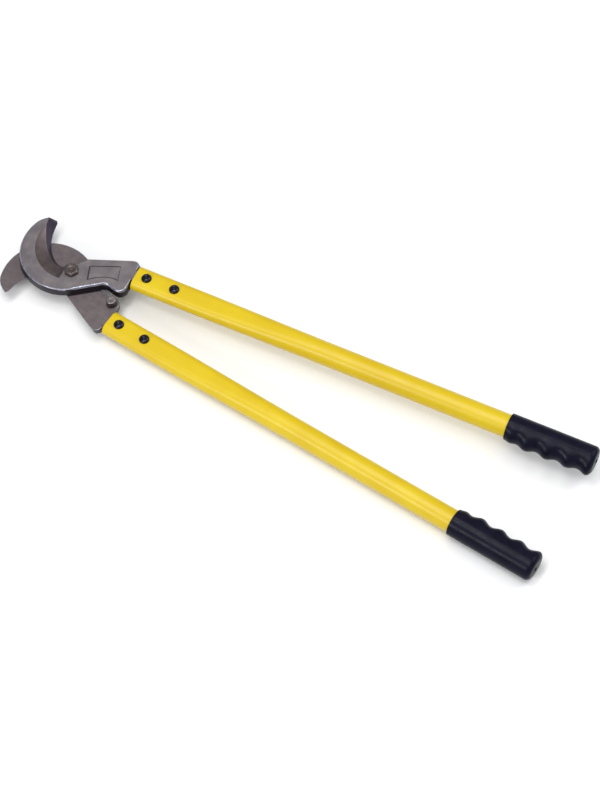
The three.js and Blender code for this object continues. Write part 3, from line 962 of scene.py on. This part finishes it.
def lathe(bm, profile, loop=False):
    skin(bm, [circle(max(r, 0.01), z) for r, z in profile], loop)


def washer_profile(outer, inner, low, high):
    """(radius, z) once round a washer's section, with the rounded rim at the top."""
    return [(inner, low + 0.1), (inner, high - 0.1), (inner + 0.2, high), (outer - 0.6, high),
            (outer - 0.2, high - 0.15), (outer, high - 0.5), (outer, low + 0.1), (outer - 0.1, low),
            (inner + 0.1, low)]


def make_nut(name, matrix, body, node, across_flats, bore, finish):
    low, high = heights(node)
    wide = bore + BORE_CHAMFER
    hole = ((wide, high), (bore, high - BORE_CHAMFER), (bore, low + BORE_CHAMFER), (wide, low))
    rings = list(reversed(chamfer_rings(across_flats, low, upwards=False)))
    rings += chamfer_rings(across_flats, high)
    rings += [circle(r, z, HEX_POINTS) for r, z in hole]
    bm = bmesh.new()
    skin(bm, rings, loop=True)
    place(bm, name, matrix, body, [finish], [node], sharp=28)


def make_washer(name, matrix, body, node, bore, finish):
    low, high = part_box(node)
    outer = (high.x - low.x) / 2 / MM
    bm = bmesh.new()
    lathe(bm, washer_profile(outer, bore, *heights(node)), loop=True)
    place(bm, name, matrix, body, [finish], [node])


make_nut("pivot_hex_nut", pivot_axis, "lower_half", "pivot_nut", PIVOT_FLATS,
         PIVOT_RADIUS + 0.2, PLAIN)
make_washer("pivot_plain_washer", pivot_axis, "lower_half", "pivot_washer",
            PIVOT_RADIUS + 0.3, PLAIN)


# %% [markdown]
# ## Stop pin
# The pin is driven into the lower jaw, and the upper jaw's boss closes against it. Its top is turned
# flat with a broken edge and a slight hollow, and stays clean, while its side is darker, for its oil
# and as painted shade. It is a lathe shape, drawn about its own axis so that the turning marks in its
# finish are centred on it. Which finish a face gets goes by its height.

# %% Build the stop pin
PIN_SHANK = 4               # mm, radius of the part inside the jaw
PIN_DRIVEN = 6              # mm, how deep it goes
PIN_CHAMFER = 1.0
CORNER_STEPS = 3


def upright_at(node):
    centre = middle(node)
    return Matrix.Translation((centre.x, centre.y, 0))


def rounded_profile(corners, radius):
    """Points of a polyline in (radius, z) with its inner corners rounded."""
    out = [corners[0]]
    for before, corner, after in zip(corners, corners[1:], corners[2:]):
        c = Vector(corner)
        u, v = Vector(before) - c, Vector(after) - c
        reach = min(radius, u.length * 0.45, v.length * 0.45)
        start, end = c + u.normalized() * reach, c + v.normalized() * reach
        for k in range(CORNER_STEPS + 1):
            t = k / CORNER_STEPS
            p = start * (1 - t) ** 2 + c * 2 * t * (1 - t) + end * t ** 2
            out.append((p.x, p.y))
    return out + [corners[-1]]


def make_stop_pin():
    low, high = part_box("stop_pin")
    radius = (high.x - low.x) / 2 / MM
    top = high.z / MM
    seat = (HALF["lower"] @ Vector((0, 0, SHEAR_Z * MM))).z / MM
    corners = [(PIN_SHANK, seat - PIN_DRIVEN), (PIN_SHANK, seat + 0.3), (radius - 0.4, seat + 0.3),
               (radius, seat + 0.8), (radius, top - PIN_CHAMFER), (radius - PIN_CHAMFER, top),
               (2.5, top - 0.12), (0.05, top - 0.3)]
    bm = bmesh.new()
    lathe(bm, rounded_profile(corners, 0.6))
    for face in bm.faces:
        # the side below the top takes the darker finish: oil and painted shade
        on_side = face.calc_center_median().z < top - 0.9
        face.material_index = 1 if on_side else 0
    place(bm, "stop_pin_turned", upright_at("stop_pin"), "lower_half", [PLAIN, PIN_OIL_AND_SHADE],
          ["stop_pin"])


make_stop_pin()


# %% [markdown]
# ## Handle screws
# Each handle has two domed socket screws through the tube and the tang. The socket could be
# cut with a boolean. Instead the dome's last ring is followed by a hexagon of as many points,
# so the rim of the socket is clean. Below, each screw has a washer and a nut.

# %% Build the handle fasteners
SCREW_RADIUS = 4
SCREW_PITCH = 1.25
SCREW_HEAD_RADIUS = 7.1
SCREW_HEAD = 4.4
SCREW_RIM = 0.8             # mm, upright rim under the dome
DOME_END = 70               # degrees, where the dome stops at the socket
DOME_STEPS = 12
DOME_FLATTEN = 0.98
SOCKET = 5                  # mm across the flats
SOCKET_DEPTH = 2.2
NUT_FLATS = 13


def make_button_screw(name, matrix, body, node):
    low, high = heights(node)
    base = high - SCREW_HEAD
    shank = thread_profile(SCREW_RADIUS, SCREW_PITCH, low, low + 4) + [(SCREW_RADIUS, base)]
    head = [(SCREW_HEAD_RADIUS - 0.2, base), (SCREW_HEAD_RADIUS, base + 0.2)]
    for k in range(DOME_STEPS + 1):
        a = math.radians(DOME_END * k / DOME_STEPS)
        rise = (SCREW_HEAD - SCREW_RIM) * math.sin(a) / DOME_FLATTEN
        head.append((SCREW_HEAD_RADIUS * math.cos(a), base + SCREW_RIM + rise))
    head.append((to_corner(SOCKET) + 0.3, high))
    rings = [circle(r, z, HEX_POINTS) for r, z in shank + head]
    rings.append(hex_ring(SOCKET, high - 0.25))
    rings.append(hex_ring(SOCKET, high - SOCKET_DEPTH))
    rings.append(circle(0.2, high - SOCKET_DEPTH - 0.7, HEX_POINTS))
    bm = bmesh.new()
    skin(bm, rings)
    place(bm, name, matrix, body, [OXIDE], [node], sharp=40)


for name, side in SIDES.items():
    body = f"{name}_half"
    for number in (1, 2):
        node = f"{name}_handle_screw_{number}"
        matrix = upright_at(node) @ Matrix.Rotation(side * handle_angle, 4, "Z")
        make_button_screw(f"{name}_button_screw_{number}", matrix, body, node)
        make_washer(f"{name}_screw_washer_{number}", matrix, body,
                    f"{name}_handle_washer_{number}", SCREW_RADIUS + 0.3, OXIDE)
        make_nut(f"{name}_screw_nut_{number}", matrix, body, f"{name}_handle_nut_{number}",
                 NUT_FLATS, SCREW_RADIUS + 0.2, OXIDE)


# %% [markdown]
# ## Floor
# The tool lies on a plain pale floor, wide enough to fill the camera's view. A paper roll
# curved up behind the tool is the usual way, but seen this steeply a flat grid does as well.
# Its finish is rough and barely mottled, so it takes soft shadows and no reflections.

# %% Floor
FLOOR_REACH = 4             # metres from the middle to a side
FLOOR_CELLS = 12


def make_floor():
    bm = bmesh.new()
    bmesh.ops.create_grid(bm, x_segments=FLOOR_CELLS, y_segments=FLOOR_CELLS, size=FLOOR_REACH)
    mesh = bpy.data.meshes.new("floor")
    bm.to_mesh(mesh)
    bm.free()
    floor = bpy.data.objects.new("floor", mesh)
    bpy.context.scene.collection.objects.link(floor)
    f = Finish("pale floor")
    f.color(f.mix(f.patches(600, 2), (238.6, 238.6, 238.6), (242.2, 242.2, 242.2)))
    f.rough(90, 2, 0.7, 0.8)
    mesh.materials.append(f.set(level=0.2))
    print("floor", len(mesh.polygons), "faces")


make_floor()


# %% [markdown]
# ## Camera
# The camera is far away with a long lens, so perspective hardly shows. Its place is given by
# how far it turns about the vertical, how far it tilts from looking straight down, and a
# small roll. It is then moved so that the pivot falls at a given spot of its view, which is
# easier to set than a point in the air.

# %% Camera
TURN = 32.69                # degrees about the vertical
TILT = 29.65                # degrees from straight down
ROLL = -3.28
DISTANCE = 3500             # mm from the camera's plane to the jaws
JAWS_LEFT = 312.8           # mm, where the pivot lies left of the view's middle
JAWS_UP = 176.9             # mm above it
LENS = 115                  # mm
jaw_top = Vector((pivot.x, pivot.y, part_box("upper_jaw")[1].z))
stage_turn = Matrix.Rotation(math.radians(TURN), 4, "Z")
aim = (stage_turn @ Matrix.Rotation(math.radians(TILT), 4, "X")
       @ Matrix.Rotation(math.radians(ROLL), 4, "Z"))
camera = bpy.data.objects.new("camera", bpy.data.cameras.new("camera"))
camera.data.lens = LENS
camera.data.sensor_width = 36
camera.data.clip_end = 50
offset = aim @ Vector((-JAWS_LEFT, JAWS_UP, -DISTANCE)) * MM
camera.matrix_world = Matrix.Translation(jaw_top - offset) @ aim
bpy.context.scene.collection.objects.link(camera)
bpy.context.scene.camera = camera
print("camera at", [round(v, 3) for v in camera.matrix_world.translation], "m")


# %% [markdown]
# ## Light
# A studio lights such a tool with large soft boxes. They are area lights here, placed in the
# camera's turned frame: x to its right, y away from it, in metres. The long one overhead
# gives the pale line along each handle, the one in front of it fills the tops, the key comes
# from the lower left, and the fill keeps the walls on the right from going black. A pale sky
# all round softens what is left of the shadows.

# %% Lights
LIGHTS_AIM = Vector((0.25, -0.1, 0.02))
SKY = (0.95, 0.97, 1, 1)
SKY_STRENGTH = 0.38


def area_light(name, spot, size, power):
    light = bpy.data.lights.new(name, "AREA")
    light.shape = "RECTANGLE"
    light.size, light.size_y = size
    light.energy = power
    obj = bpy.data.objects.new(name, light)
    bpy.context.scene.collection.objects.link(obj)
    obj.location = stage_turn @ Vector(spot)
    toward = stage_turn @ LIGHTS_AIM - obj.location
    obj.rotation_euler = toward.to_track_quat("-Z", "Y").to_euler()
    print(name, power, "W")


area_light("overhead", (0.0, 0.1, 2.7), (1.8, 0.6), 26)
area_light("front", (0.1, -0.9, 2.7), (1.8, 1.4), 28)
area_light("key", (-1.5, -1.7, 1.5), (1.1, 0.8), 32)
area_light("fill", (2.0, 0.4, 1.8), (1.4, 1.4), 22)
world = bpy.data.worlds.new("studio")
bpy.context.scene.world = world
world.use_nodes = True
background = world.node_tree.nodes["Background"]
background.inputs["Color"].default_value = SKY
background.inputs["Strength"].default_value = SKY_STRENGTH
bpy.context.scene.view_settings.view_transform = "Standard"
